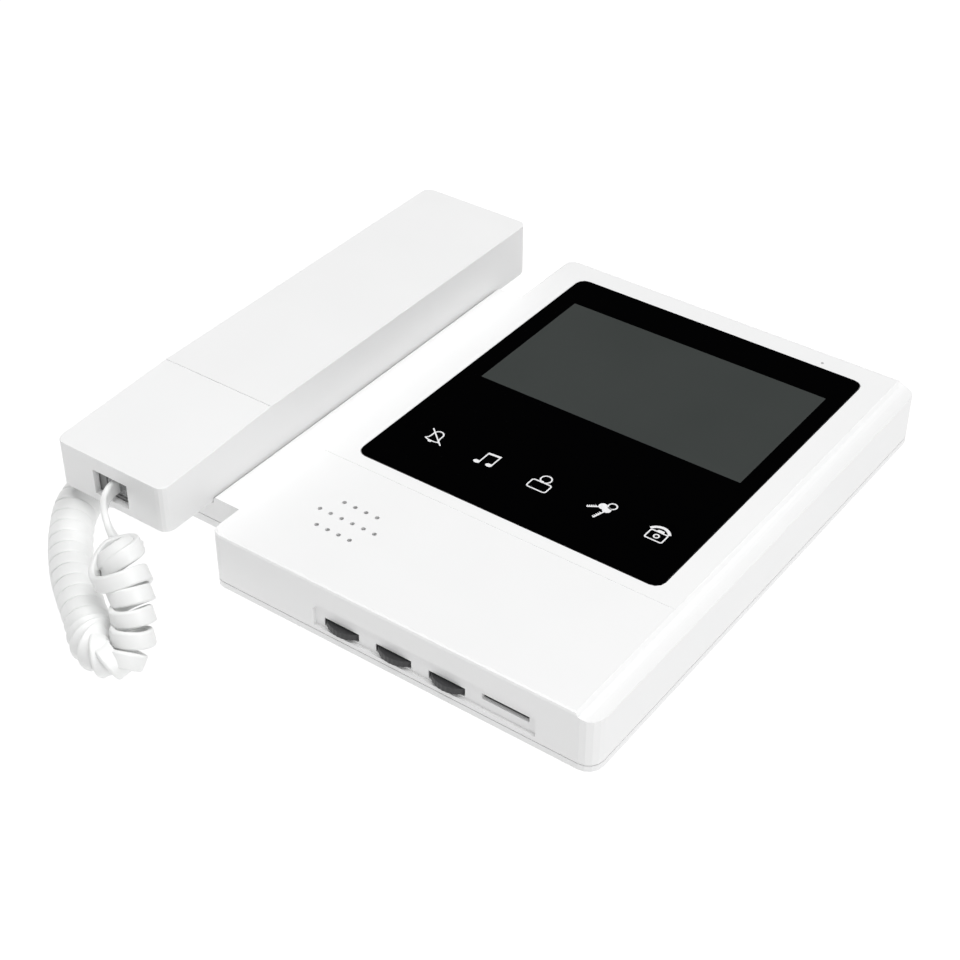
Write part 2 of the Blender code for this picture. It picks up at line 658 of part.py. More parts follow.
def screw(name, centre, head_z, length, head_up):
    """A pan head screw. Its head is above its shank, or below it if head_up is False."""
    if head_up:
        profile = [(0, head_z + SCREW_HEAD), (SCREW_HEAD_RADIUS * 0.7, head_z + SCREW_HEAD),
                   (SCREW_HEAD_RADIUS, head_z + SCREW_HEAD * 0.5), (SCREW_HEAD_RADIUS, head_z),
                   (SCREW_RADIUS, head_z), (SCREW_RADIUS, head_z - length), (0, head_z - length)]
    else:
        top_z = head_z + length
        profile = [(0, top_z), (SCREW_RADIUS, top_z), (SCREW_RADIUS, head_z),
                   (SCREW_HEAD_RADIUS, head_z), (SCREW_HEAD_RADIUS, head_z - SCREW_HEAD * 0.5),
                   (SCREW_HEAD_RADIUS * 0.7, head_z - SCREW_HEAD + 0.3 * MM),
                   (0, head_z - SCREW_HEAD + 0.3 * MM)]
    return turned(name, profile, STEEL, centre, steps=12)


def make_main_board():
    low_z = 7.7 * MM + GAP
    board = box("main_board", (-18 * MM, -27 * MM, low_z), (70 * MM, 87 * MM, low_z + 1.6 * MM),
                BOARD)
    cut(board, cylinders("main_board_holes", BOARD_SCREWS, SCREW_RADIUS + GAP, 5 * MM, 12 * MM))
    box("power_terminal", (12 * MM, 31 * MM, 2.4 * MM), (24 * MM, 41 * MM, low_z - GAP),
        GREEN_TERMINAL)
    box("door_terminal", (26 * MM, 31 * MM, 2.4 * MM), (42 * MM, 41 * MM, low_z - GAP),
        GREEN_TERMINAL)
    box("video_processor", (20 * MM, 48 * MM, low_z + 1.9 * MM), (38 * MM, 66 * MM, low_z + 3.4 * MM),
        DARK_PLASTIC)
    for i, centre in enumerate(BOARD_SCREWS):
        screw(f"board_screw_{i + 1}", centre, low_z + 1.6 * MM + GAP, 6.6 * MM, True)


def make_case_screws():
    for i, centre in enumerate(CASE_SCREWS):
        screw(f"case_screw_{i + 1}", centre, SCREW_HEAD + 0.1 * MM - GAP, 11 * MM, False)
    for i, centre in enumerate(WING_SCREWS):
        screw(f"wing_screw_{i + 1}", centre, WING_UNDERSIDE_Z - GAP, 6 * MM, False)


# Controls behind the bottom edge

CONTROL_BOARD_Z = 9.1 * MM
POT_LOW_Z = WHEEL_Z + WHEEL_THICKNESS / 2 + GAP


def wheel_outline():
    """A round outline with small ridges, as for a thumb."""
    points = []
    for i in range(WHEEL_RIDGES * 2):
        radius = WHEEL_RADIUS - (WHEEL_RIDGE_DEPTH if i % 2 else 0.0)
        angle = math.pi * i / WHEEL_RIDGES
        points.append((radius * math.cos(angle), radius * math.sin(angle)))
    return points


def make_thumbwheels():
    """Three volume, brightness and colour wheels, each round the pin of its potentiometer."""
    for i, x in enumerate(wheel_xs()):
        curve = bpy.data.curves.new("thumbwheel_outline", "CURVE")
        curve.dimensions = "2D"
        curve.fill_mode = "BOTH"
        curve.extrude = WHEEL_THICKNESS / 2
        spline = curve.splines.new("POLY")
        outline = wheel_outline()
        spline.points.add(len(outline) - 1)
        for point, (u, v) in zip(spline.points, outline):
            point.co = (u, v, 0.0, 1.0)
        spline.use_cyclic_u = True
        rim = bpy.data.objects.new("thumbwheel_outline", curve)
        place(rim)
        rim.location = (x, WHEEL_AXIS_Y, WHEEL_Z)
        wheel = from_curve(rim, f"thumbwheel_{i + 1}", DARK_PLASTIC, False)
        cut(wheel, cylinders(f"thumbwheel_bore_{i + 1}", [(x, WHEEL_AXIS_Y)], PIN_RADIUS + GAP,
                             0, 12 * MM))
        pot = box(f"potentiometer_{i + 1}",
                  (x - 4.5 * MM, WHEEL_AXIS_Y - 4.2 * MM, POT_LOW_Z),
                  (x + 4.5 * MM, WHEEL_AXIS_Y + 6 * MM, CONTROL_BOARD_Z - GAP), GREY_PLASTIC)
        add(pot, cylinder(f"potentiometer_pin_{i + 1}", (x, WHEEL_AXIS_Y), PIN_RADIUS,
                          WHEEL_Z - WHEEL_THICKNESS / 2, POT_LOW_Z + 0.5 * MM, cutter=True,
                          sides=12))


def make_control_board():
    box("control_board", (-2 * MM, BODY_BOTTOM + WALL + 2 * MM, CONTROL_BOARD_Z),
        (74 * MM, -64 * MM, CONTROL_BOARD_Z + 1.6 * MM), BOARD)
    socket = box("card_socket", (CARD_X - 7.6 * MM, BODY_BOTTOM + WALL + GAP, CARD_Z - 1.1 * MM),
                 (CARD_X + 7.6 * MM, BODY_BOTTOM + 17 * MM, CONTROL_BOARD_Z - GAP), STEEL)
    cut(socket, cutter_box("card_socket_mouth",
                           (CARD_X - 5.6 * MM, BODY_BOTTOM - 1 * MM, CARD_Z - 0.6 * MM),
                           (CARD_X + 5.6 * MM, BODY_BOTTOM + 16 * MM, CARD_Z + 0.5 * MM)))


# Sound

def make_loudspeaker():
    top_z = CAVITY_Z - GAP
    turned("speaker_basket", [
        (SPEAKER_RADIUS - 2 * MM, top_z),
        (SPEAKER_RADIUS, top_z),
        (SPEAKER_RADIUS, top_z - 1.0 * MM),
        (9 * MM, top_z - 3.4 * MM),
        (9 * MM, top_z - 6.0 * MM),
        (0, top_z - 6.0 * MM),
        (0, top_z - 4.6 * MM),
        (7.5 * MM, top_z - 3.0 * MM),
        (SPEAKER_RADIUS - 2 * MM, top_z - 0.9 * MM),
        (SPEAKER_RADIUS - 2 * MM, top_z),
    ], STEEL, SPEAKER_CENTRE)
    turned("speaker_cone", [
        (0, top_z - 2.6 * MM),
        (5 * MM, top_z - 2.4 * MM),
        (SPEAKER_RADIUS - 3 * MM, top_z - 0.4 * MM),
        (SPEAKER_RADIUS - 2.4 * MM, top_z - 0.2 * MM),
        (SPEAKER_RADIUS - 2.4 * MM, top_z - 0.5 * MM),
        (7.5 * MM, top_z - 2.6 * MM),
        (0, top_z - 3.8 * MM),
    ], PAPER_CONE, SPEAKER_CENTRE)
    cylinder("microphone_capsule", MIC_CENTRE, 3.0 * MM, top_z - 2.7 * MM, top_z, DARK_PLASTIC)


# Hook switch in the cradle

HOOK_TOP_Z = HANDSET_Z - GAP
HOOK_LOW_Z = WING_FLOOR_Z + 1.4 * MM
HOOK_BORE_RADIUS = 2.0 * MM
SPRING_RADIUS = 1.4 * MM
SPRING_WIRE = 0.22 * MM
SPRING_TURNS = 5


def make_hook_switch():
    plunger = box("hook_plunger", (HANDSET_X - HOOK_SIZE[0] / 2, HOOK_Y - HOOK_SIZE[1] / 2,
                                   HOOK_LOW_Z),
                  (HANDSET_X + HOOK_SIZE[0] / 2, HOOK_Y + HOOK_SIZE[1] / 2, HOOK_TOP_Z), WHITE,
                  corner=1.5 * MM)
    flange = box("hook_flange", (HANDSET_X - HOOK_SIZE[0] / 2 - 2 * MM,
                                 HOOK_Y - HOOK_SIZE[1] / 2 - 1.5 * MM, HOOK_LOW_Z),
                 (HANDSET_X + HOOK_SIZE[0] / 2 + 2 * MM, HOOK_Y + HOOK_SIZE[1] / 2 + 1.5 * MM,
                  HOOK_LOW_Z + HOOK_FLANGE), cutter=True)
    bore = cylinder("hook_bore", (HANDSET_X, HOOK_Y), HOOK_BORE_RADIUS, 0, 15.4 * MM, cutter=True,
                    sides=16)
    cut(add(plunger, flange), bore)
    low_z = WING_FLOOR_Z + GAP + SPRING_WIRE
    high_z = 15.4 * MM - GAP - SPRING_WIRE
    count = SPRING_TURNS * 8
    helix = []
    for i in range(count + 1):
        angle = 2 * math.pi * i / 8
        helix.append((HANDSET_X + SPRING_RADIUS * math.cos(angle),
                      HOOK_Y + SPRING_RADIUS * math.sin(angle),
                      low_z + (high_z - low_z) * i / count))
    tube("hook_spring", helix, SPRING_WIRE, STEEL, bevel_resolution=0)
    box("hook_microswitch", (HANDSET_X + 8 * MM, HOOK_Y - 5 * MM, WING_FLOOR_Z + GAP),
        (HANDSET_X + 14 * MM, HOOK_Y + 5 * MM, 14.6 * MM), DARK_PLASTIC)


# Handset

def handset_outline(inset, low_z):
    """The handset seen along X: its top is level over the ear end and slopes down past the crease."""
    return [
        (HANDSET_BOTTOM + inset, low_z),
        (HANDSET_TOP - inset, low_z),
        (HANDSET_TOP - inset, HANDSET_HIGH_Z - inset),
        (CREASE_Y, HANDSET_CREASE_Z - inset),
        (HANDSET_BOTTOM + inset, HANDSET_LOW_Z - inset),
    ]


def handset_jack_cutter(name, low_y, high_y, width, height):
    return cutter_box(name, (HANDSET_X - width / 2, low_y, HANDSET_OPENING_Z - height / 2),
                      (HANDSET_X + width / 2, high_y, HANDSET_OPENING_Z + height / 2))


HANDSET_SCREWS = ((HANDSET_X, 34.0 * MM), (HANDSET_X, -60.0 * MM))
HANDSET_FLOOR = 2.0 * MM
HANDSET_FLOOR_Z = HANDSET_Z + HANDSET_FLOOR


def make_handset_shells():
    outer = prism("handset_outer_shell", handset_outline(0, HANDSET_Z), HANDSET_LEFT, HANDSET_RIGHT,
                  "X", WHITE)
    bm = bmesh.new()
    bm.from_mesh(outer.data)
    bmesh.ops.transform(bm, matrix=outer.matrix_world, verts=bm.verts)
    round_upright_edges(bm, HANDSET_CORNER, 4)
    bm.to_mesh(outer.data)
    bm.free()
    outer.matrix_world = Matrix.Identity(4)
    bevel(outer, HANDSET_EDGE)
    hollow = prism("handset_hollow", handset_outline(HANDSET_WALL, HANDSET_Z - 5 * MM),
                   HANDSET_LEFT + HANDSET_WALL, HANDSET_RIGHT - HANDSET_WALL, "X", cutter=True)
    cut(outer, hollow)
    posts = [cylinder(f"handset_post_{i + 1}", centre, 2.8 * MM, HANDSET_FLOOR_Z + GAP,
                      HANDSET_CREASE_Z - 1.5 * MM, cutter=True)
             for i, centre in enumerate(HANDSET_SCREWS)]
    add(outer, *posts)
    cut(outer, cylinders("handset_post_bores", HANDSET_SCREWS, SCREW_RADIUS + GAP, 10 * MM, 30 * MM))
    cut(outer, handset_jack_cutter("handset_jack_opening", HANDSET_BOTTOM - 3 * MM,
                                   HANDSET_BOTTOM + HANDSET_WALL + 0.5 * MM, *HANDSET_OPENING))
    crease = cutter_box("crease_groove", (HANDSET_LEFT - 2 * MM, CREASE_Y - 0.15 * MM,
                                          HANDSET_CREASE_Z - 0.25 * MM),
                        (HANDSET_RIGHT + 2 * MM, CREASE_Y + 0.15 * MM, HANDSET_CREASE_Z + 2 * MM))
    cut(outer, crease)

    inset = HANDSET_WALL + GAP
    inner = box("handset_inner_shell", (HANDSET_LEFT + inset, HANDSET_BOTTOM + inset, HANDSET_Z),
                (HANDSET_RIGHT - inset, HANDSET_TOP - inset, HANDSET_FLOOR_Z), WHITE)
    for i, y in enumerate(RIB_YS):
        half_x, half_y = RIB_SIZE[0] / 2 + GAP, RIB_SIZE[1] / 2 + GAP
        cut(inner, cutter_box(f"rib_groove_{i + 1}", (HANDSET_X - half_x, y - half_y, 10 * MM),
                              (HANDSET_X + half_x, y + half_y, 30 * MM)))
    ring = [(HANDSET_X + 5 * MM * math.cos(math.tau * i / 6),
             EARPIECE_Y + 5 * MM * math.sin(math.tau * i / 6)) for i in range(6)]
    slots = [(HANDSET_X + dx * MM, MOUTHPIECE_Y) for dx in (-3.0, 0.0, 3.0)]
    cut(inner, cylinders("earpiece_holes", ring + [(HANDSET_X, EARPIECE_Y)], 0.9 * MM, 10 * MM,
                         30 * MM, sides=8))
    cut(inner, cylinders("mouthpiece_holes", slots, 0.7 * MM, 10 * MM, 30 * MM, sides=8))
    cut(inner, cylinders("handset_screw_holes", HANDSET_SCREWS, SCREW_RADIUS + GAP, 10 * MM,
                         30 * MM))
    cut(inner, cylinders("handset_screw_seats", HANDSET_SCREWS, SCREW_HEAD_RADIUS + GAP, 10 * MM,
                         HANDSET_Z + 1.2 * MM, sides=16))


def make_handset_contents():
    floor_z = HANDSET_FLOOR_Z + GAP
    turned("earpiece_capsule", [
        (0, floor_z + 5.5 * MM), (8 * MM, floor_z + 5.5 * MM), (8 * MM, floor_z + 3.0 * MM),
        (12.5 * MM, floor_z + 2.2 * MM), (12.5 * MM, floor_z), (0, floor_z),
    ], DARK_PLASTIC, (HANDSET_X, EARPIECE_Y))
    cylinder("handset_microphone", (HANDSET_X, MOUTHPIECE_Y), 4.8 * MM, floor_z, floor_z + 2.7 * MM,
             DARK_PLASTIC)
    box("handset_weight", (HANDSET_X - 9 * MM, -30 * MM, floor_z),
        (HANDSET_X + 9 * MM, 20 * MM, floor_z + 6 * MM), STEEL)
    jack = box("handset_jack", (HANDSET_X - 6.9 * MM, HANDSET_BOTTOM + HANDSET_WALL + GAP,
                                floor_z),
               (HANDSET_X + 6.9 * MM, HANDSET_BOTTOM + 15 * MM, HANDSET_OPENING_Z + 4.4 * MM),
               GREY_PLASTIC)
    cut(jack, handset_jack_cutter("handset_jack_mouth", HANDSET_BOTTOM - 1 * MM,
                                  HANDSET_BOTTOM + 13 * MM, PLUG_WIDTH + 2 * GAP, 6.6 * MM))
    for i, centre in enumerate(HANDSET_SCREWS):
        screw(f"handset_screw_{i + 1}", centre, HANDSET_Z + 1.2 * MM - GAP, 8 * MM, False)


# Cord

def make_cord():
    box("handset_plug", (HANDSET_X - PLUG_WIDTH / 2, HANDSET_BOTTOM + 2.6 * MM,
                         HANDSET_OPENING_Z - 3.0 * MM),
        (HANDSET_X + PLUG_WIDTH / 2, HANDSET_BOTTOM + 12.5 * MM, HANDSET_OPENING_Z + 3.0 * MM),
        CLEAR_PLASTIC)
    jack = box("base_jack", (BASE_JACK_X - 6 * MM, WING_BOTTOM + WING_WALL + GAP,
                             WING_FLOOR_Z + GAP),
               (BASE_JACK_X + 6 * MM, WING_BOTTOM + 15 * MM, CRADLE_Z - WING_WALL - GAP),
               GREY_PLASTIC)
    cut(jack, cutter_box("base_jack_mouth",
                         (BASE_JACK_X - PLUG_WIDTH / 2 - GAP, WING_BOTTOM - 1 * MM,
                          BASE_JACK_Z - 2.3 * MM),
                         (BASE_JACK_X + PLUG_WIDTH / 2 + GAP, WING_BOTTOM + 13 * MM,
                          BASE_JACK_Z + 2.3 * MM)))
    box("base_plug", (BASE_JACK_X - PLUG_WIDTH / 2, WING_BOTTOM - 2.2 * MM, BASE_JACK_Z - 2.0 * MM),
        (BASE_JACK_X + PLUG_WIDTH / 2, WING_BOTTOM + 12 * MM, BASE_JACK_Z + 2.0 * MM),
        CLEAR_PLASTIC)
    tube("cord_coil", smooth_route(COIL_ROUTE, COIL_STEP), COIL_RADIUS, CORD_WHITE, 3)
    tube("cord_coil_rise", smooth_route(COIL_RISE_ROUTE, COIL_STEP), COIL_RADIUS, CORD_WHITE, 3)
    tube("base_lead", smooth_route(BASE_LEAD_ROUTE, 1.5 * MM), LEAD_RADIUS, CORD_WHITE)
    tube("handset_lead", smooth_route(HANDSET_LEAD_ROUTE, 2.4 * MM), LEAD_RADIUS, CORD_WHITE)


make_front_housing()
make_rear_cover()
make_front_glass()
make_lcd_module()
make_touch_board()
make_main_board()
make_case_screws()
make_thumbwheels()
make_control_board()
make_loudspeaker()
make_hook_switch()
make_handset_shells()
make_handset_contents()
make_cord()
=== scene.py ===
"""The looks of the video intercom monitor: its curly cord, the printing on its glass and every
material. Lengths are in metres unless a name ends in _MM or a comment says otherwise."""

import json
import math

import bmesh
import bpy
from mathutils import Matrix, Vector


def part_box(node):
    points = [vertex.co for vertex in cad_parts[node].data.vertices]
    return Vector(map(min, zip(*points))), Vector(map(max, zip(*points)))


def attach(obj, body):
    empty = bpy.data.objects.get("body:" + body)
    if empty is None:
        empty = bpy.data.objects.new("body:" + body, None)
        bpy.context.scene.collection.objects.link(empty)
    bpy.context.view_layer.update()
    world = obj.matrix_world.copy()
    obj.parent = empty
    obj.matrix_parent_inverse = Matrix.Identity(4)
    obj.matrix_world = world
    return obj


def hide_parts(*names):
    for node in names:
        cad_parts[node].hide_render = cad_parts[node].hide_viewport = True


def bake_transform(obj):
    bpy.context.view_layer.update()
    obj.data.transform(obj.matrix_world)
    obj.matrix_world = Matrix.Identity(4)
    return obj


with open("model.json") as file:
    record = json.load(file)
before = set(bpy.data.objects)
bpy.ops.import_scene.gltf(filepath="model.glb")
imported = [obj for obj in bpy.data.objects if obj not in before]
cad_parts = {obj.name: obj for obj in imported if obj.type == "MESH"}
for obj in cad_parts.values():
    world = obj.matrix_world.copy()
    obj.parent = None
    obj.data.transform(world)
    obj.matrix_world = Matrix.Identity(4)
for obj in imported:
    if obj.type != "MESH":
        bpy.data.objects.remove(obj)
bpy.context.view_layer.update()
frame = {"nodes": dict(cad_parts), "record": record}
NODES = frame["nodes"]
MM = 0.001
SCENE = bpy.context.scene
GLASS_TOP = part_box("front_glass")[1].z


# Camera

CAMERA_PLACE = (0.27517, -0.39213, 0.36800)
CAMERA_AZIMUTH = 35.923
CAMERA_ELEVATION = 37.508
CAMERA_ROLL = 0.11
CAMERA_LENS_MM = 71.99
CAMERA_SENSOR_MM = 36
CAMERA_CLIP_START = 0.01


def make_camera():
    azimuth, elevation, roll = (math.radians(a) for a in
                                (CAMERA_AZIMUTH, CAMERA_ELEVATION, CAMERA_ROLL))
    back = Vector((math.sin(azimuth) * math.cos(elevation),
                   -math.cos(azimuth) * math.cos(elevation), math.sin(elevation)))
    level = Vector((math.cos(azimuth), math.sin(azimuth), 0))
    upright = back.cross(level)
    right = level * math.cos(roll) + upright * math.sin(roll)
    up = upright * math.cos(roll) - level * math.sin(roll)
    data = bpy.data.cameras.new("camera")
    data.lens = CAMERA_LENS_MM
    data.sensor_width = CAMERA_SENSOR_MM
    data.clip_start = CAMERA_CLIP_START
    camera = bpy.data.objects.new("camera", data)
    matrix = Matrix((right, up, back)).transposed().to_4x4()
    matrix.translation = Vector(CAMERA_PLACE)
    camera.matrix_world = matrix
    SCENE.collection.objects.link(camera)
    SCENE.camera = camera


# Studio: a floor that glows white, an even sky with one dark side, and two soft lights

FLOOR_HALF = 4.0
FLOOR_DROP = 0.15 * MM
FLOOR_COLOUR = (0.10, 0.10, 0.10)
FLOOR_GLOW = 0.97
SKY_STRENGTH = 0.37
DARK_SIDE = (-0.46, 0.64, 0.61)
DARK_SIDE_STRENGTH = 0.01
DARK_SIDE_DEGREES = 22
DARK_SIDE_EDGE_DEGREES = 50
LIGHT_AIM = (0, 0, 0)
TOP_LIGHT_PLACE = (0.05, -0.05, 1.6)
TOP_LIGHT_SIZE = 1.4
TOP_LIGHT_WATTS = 21.5
SIDE_LIGHT_PLACE = (1.5, -0.3, 0.8)
SIDE_LIGHT_SIZE = 1.0
SIDE_LIGHT_WATTS = 7.0


def link(tree, output, socket):
    tree.links.new(output, socket)


def make_floor():
    mesh = bpy.data.meshes.new("floor")
    bm = bmesh.new()
    bmesh.ops.create_grid(bm, x_segments=1, y_segments=1, size=FLOOR_HALF)
    bm.to_mesh(mesh)
    bm.free()
    floor = bpy.data.objects.new("floor", mesh)
    floor.location.z = -FLOOR_DROP
    SCENE.collection.objects.link(floor)
    material = bpy.data.materials.new("floor_white")
    material.use_nodes = True
    shader = material.node_tree.nodes["Principled BSDF"]
    shader.inputs["Base Color"].default_value = (*FLOOR_COLOUR, 1)
    shader.inputs["Roughness"].default_value = 1.0
    shader.inputs["Specular IOR Level"].default_value = 0.0
    shader.inputs["Emission Color"].default_value = (1, 1, 1, 1)
    shader.inputs["Emission Strength"].default_value = FLOOR_GLOW
    mesh.materials.append(material)


def make_sky():
    """White from all round, but dim behind the object, so that its glass mirrors a dark side."""
    world = bpy.data.worlds.new("studio")
    world.use_nodes = True
    tree = world.node_tree
    background = tree.nodes["Background"]
    background.inputs["Color"].default_value = (1, 1, 1, 1)
    place = tree.nodes.new("ShaderNodeTexCoord")
    dot = tree.nodes.new("ShaderNodeVectorMath")
    dot.operation = "DOT_PRODUCT"
    dot.inputs[1].default_value = Vector(DARK_SIDE).normalized()
    link(tree, place.outputs["Generated"], dot.inputs[0])
    fall = tree.nodes.new("ShaderNodeMapRange")
    fall.interpolation_type = "SMOOTHSTEP"
    fall.inputs["From Min"].default_value = math.cos(math.radians(DARK_SIDE_EDGE_DEGREES))
    fall.inputs["From Max"].default_value = math.cos(math.radians(DARK_SIDE_DEGREES))
    fall.inputs["To Min"].default_value = SKY_STRENGTH
    fall.inputs["To Max"].default_value = DARK_SIDE_STRENGTH
    link(tree, dot.outputs["Value"], fall.inputs["Value"])
    link(tree, fall.outputs["Result"], background.inputs["Strength"])
    SCENE.world = world


def add_area_light(name, place, size, watts):
    data = bpy.data.lights.new(name, "AREA")
    data.shape = "DISK"
    data.size = size
    data.energy = watts
    light = bpy.data.objects.new(name, data)
    light.location = place
    light.rotation_euler = (Vector(LIGHT_AIM) - Vector(place)).to_track_quat("-Z", "Y").to_euler()
    SCENE.collection.objects.link(light)


def make_studio():
    make_floor()
    make_sky()
    add_area_light("top_light", TOP_LIGHT_PLACE, TOP_LIGHT_SIZE, TOP_LIGHT_WATTS)
    add_area_light("side_light", SIDE_LIGHT_PLACE, SIDE_LIGHT_SIZE, SIDE_LIGHT_WATTS)
    SCENE.view_settings.view_transform = "Standard"


# Materials

NOISE_LOW, NOISE_HIGH = 0.3, 0.7
PLASTIC_GLOSS_SPREAD = (-0.04, 0.05)
METAL_GLOSS_SPREAD = (-0.06, 0.08)
METAL_COLOUR_SPREAD = (-0.04, 0.03)
METAL_GRAIN_DEPTH = 0.004 * MM
TRACKS_PER_METRE = 220


def new_material(name, colour, roughness, metallic=0.0, specular=0.5):
    material = bpy.data.materials.new(name)
    material.use_nodes = True
    shader = material.node_tree.nodes["Principled BSDF"]
    shader.inputs["Base Color"].default_value = (*colour, 1)
    shader.inputs["Roughness"].default_value = roughness
    shader.inputs["Metallic"].default_value = metallic
    shader.inputs["Specular IOR Level"].default_value = specular
    return material


def noise(tree, size, detail=2.0):
    """A noise texture in the object's own space whose blobs are about size across."""
    place = tree.nodes.get("Texture Coordinate") or tree.nodes.new("ShaderNodeTexCoord")
    texture = tree.nodes.new("ShaderNodeTexNoise")
    texture.inputs["Scale"].default_value = 1 / size
    texture.inputs["Detail"].default_value = detail
    link(tree, place.outputs["Object"], texture.inputs["Vector"])
    return texture.outputs["Fac"]


def spread(tree, value, low, high):
    """Takes a noise value from its usual range to low and high."""
    scale = tree.nodes.new("ShaderNodeMapRange")
    scale.inputs["From Min"].default_value = NOISE_LOW
    scale.inputs["From Max"].default_value = NOISE_HIGH
    scale.inputs["To Min"].default_value = low
    scale.inputs["To Max"].default_value = high
    link(tree, value, scale.inputs["Value"])
    return scale.outputs["Result"]


def vary_colour(material, size, dark, light, detail=3.0):
    """The base colour wanders between two colours in patches about size across."""
    tree = material.node_tree
    mix = tree.nodes.new("ShaderNodeMix")
    mix.data_type = "RGBA"
    mix.inputs["A"].default_value = (*dark, 1)
    mix.inputs["B"].default_value = (*light, 1)
    link(tree, spread(tree, noise(tree, size, detail), 0, 1), mix.inputs["Factor"])
    link(tree, mix.outputs["Result"], tree.nodes["Principled BSDF"].inputs["Base Color"])


def vary_roughness(material, size, low, high):
    tree = material.node_tree
    link(tree, spread(tree, noise(tree, size), low, high),
         tree.nodes["Principled BSDF"].inputs["Roughness"])


def add_grain(material, size, depth, detail=2.0):
    """A fine moulded or drawn texture, as bump of that depth."""
    tree = material.node_tree
    bump = tree.nodes.new("ShaderNodeBump")
    bump.inputs["Distance"].default_value = depth
    bump.inputs["Strength"].default_value = 1.0
    link(tree, noise(tree, size, detail), bump.inputs["Height"])
    link(tree, bump.outputs["Normal"], tree.nodes["Principled BSDF"].inputs["Normal"])


def shade(value, step):
    return tuple(max(0.0, c + step) for c in value)


def moulded(name, colour, roughness, patch, wander, grain_size, grain_depth):
    """Moulded plastic: faint colour patches, uneven gloss and spark-eroded grain."""
    material = new_material(name, colour, roughness)
    vary_colour(material, patch, shade(colour, -wander), shade(colour, wander))
    low, high = PLASTIC_GLOSS_SPREAD
    vary_roughness(material, patch / 3, roughness + low, roughness + high)
    add_grain(material, grain_size, grain_depth)
    return material


def make_glass_print():
    material = new_material("black_glass", (0.0004, 0.0004, 0.0005), 0.05, specular=0.25)
    vary_roughness(material, 18 * MM, 0.03, 0.07)
    add_grain(material, 40 * MM, 0.004 * MM, detail=1.0)
    return material


def make_display_material():
    material = new_material("display", (0.047, 0.052, 0.050), 0.12, specular=0.3)
    vary_colour(material, 30 * MM, (0.0455, 0.0505, 0.0485), (0.0485, 0.0535, 0.0515), detail=1.0)
    vary_roughness(material, 12 * MM, 0.10, 0.14)
    return material


def make_print_material():
    material = new_material("white_print", (0.82, 0.82, 0.83), 0.45)
    vary_colour(material, 0.6 * MM, (0.74, 0.74, 0.75), (0.88, 0.88, 0.89))
    add_grain(material, 0.2 * MM, 0.006 * MM)
    return material


def make_board_material():
    """Green solder mask over copper, with runs of tracks."""
    material = new_material("circuit_board", (0.015, 0.12, 0.045), 0.35)
    tree = material.node_tree
    place = tree.nodes.new("ShaderNodeTexCoord")
    tracks = tree.nodes.new("ShaderNodeTexBrick")
    tracks.inputs["Scale"].default_value = TRACKS_PER_METRE
    tracks.inputs["Color1"].default_value = (0.012, 0.10, 0.038, 1)
    tracks.inputs["Color2"].default_value = (0.016, 0.125, 0.05, 1)
    tracks.inputs["Mortar"].default_value = (0.03, 0.20, 0.08, 1)
    link(tree, place.outputs["Object"], tracks.inputs["Vector"])
    link(tree, tracks.outputs["Color"], tree.nodes["Principled BSDF"].inputs["Base Color"])
    add_grain(material, 1.5 * MM, 0.02 * MM)
    return material


def make_clear_material():
    material = new_material("clear_plastic", (0.90, 0.91, 0.92), 0.08)
    shader = material.node_tree.nodes["Principled BSDF"]
    shader.inputs["Transmission Weight"].default_value = 0.75
    shader.inputs["IOR"].default_value = 1.5
    vary_roughness(material, 2 * MM, 0.05, 0.14)
    add_grain(material, 1.2 * MM, 0.01 * MM)
    return material


def metal(name, colour, roughness, size):
    """Plated metal: gloss and colour wander in patches, over fine drawing marks."""
    material = new_material(name, colour, roughness, metallic=1.0)
    low, high = METAL_GLOSS_SPREAD
    vary_roughness(material, size, roughness + low, roughness + high)
    vary_colour(material, size * 3, *(shade(colour, step) for step in METAL_COLOUR_SPREAD))
    add_grain(material, size / 2, METAL_GRAIN_DEPTH)
    return material


MATERIALS = {
    "white_abs": moulded("white_abs", (0.855, 0.856, 0.856), 0.40, 60 * MM, 0.006,
                         0.30 * MM, 0.0022 * MM),
    "black_glass": make_glass_print(),
    "screen": make_display_material(),
    "circuit_board": make_board_material(),
    "dark_plastic": moulded("dark_plastic", (0.030, 0.030, 0.032), 0.50, 6 * MM, 0.004,
                            0.25 * MM, 0.006 * MM),
    "grey_plastic": moulded("grey_plastic", (0.26, 0.26, 0.26), 0.45, 6 * MM, 0.02,
                            0.3 * MM, 0.004 * MM),
    "clear_plastic": make_clear_material(),
    "plated_steel": metal("plated_steel", (0.62, 0.62, 0.63), 0.30, 0.5 * MM),
    "green_terminal": moulded("green_terminal", (0.03, 0.28, 0.10), 0.42, 5 * MM, 0.012,
                              0.3 * MM, 0.005 * MM),
    "paper_cone": moulded("paper_cone", (0.04, 0.04, 0.04), 0.85, 3 * MM, 0.012,
                          0.2 * MM, 0.03 * MM),
    "white_cord": moulded("white_cord", (0.84, 0.845, 0.84), 0.34, 25 * MM, 0.010,
                          0.6 * MM, 0.004 * MM),
}


ROUNDED_EDGE_DEGREES = 38
SHADING_WEIGHT = 80


def dress_nodes():
    """Every CAD node takes the full material of its slot, and its rounded edges shade smooth."""
    slots = {row["node"]: row["material_slot"] for row in frame["record"]["subparts"]}
    for name, node in NODES.items():
        node.data.materials.clear()
        node.data.materials.append(MATERIALS[slots[name]])
        shade_rounded(node)


def shade_rounded(piece):
    piece.data.shade_smooth()
    piece.data.set_sharp_from_angle(angle=math.radians(ROUNDED_EDGE_DEGREES))
    modifier = piece.modifiers.new("even_shading", "WEIGHTED_NORMAL")
    modifier.keep_sharp = True
    modifier.weight = SHADING_WEIGHT


# Mesh helpers

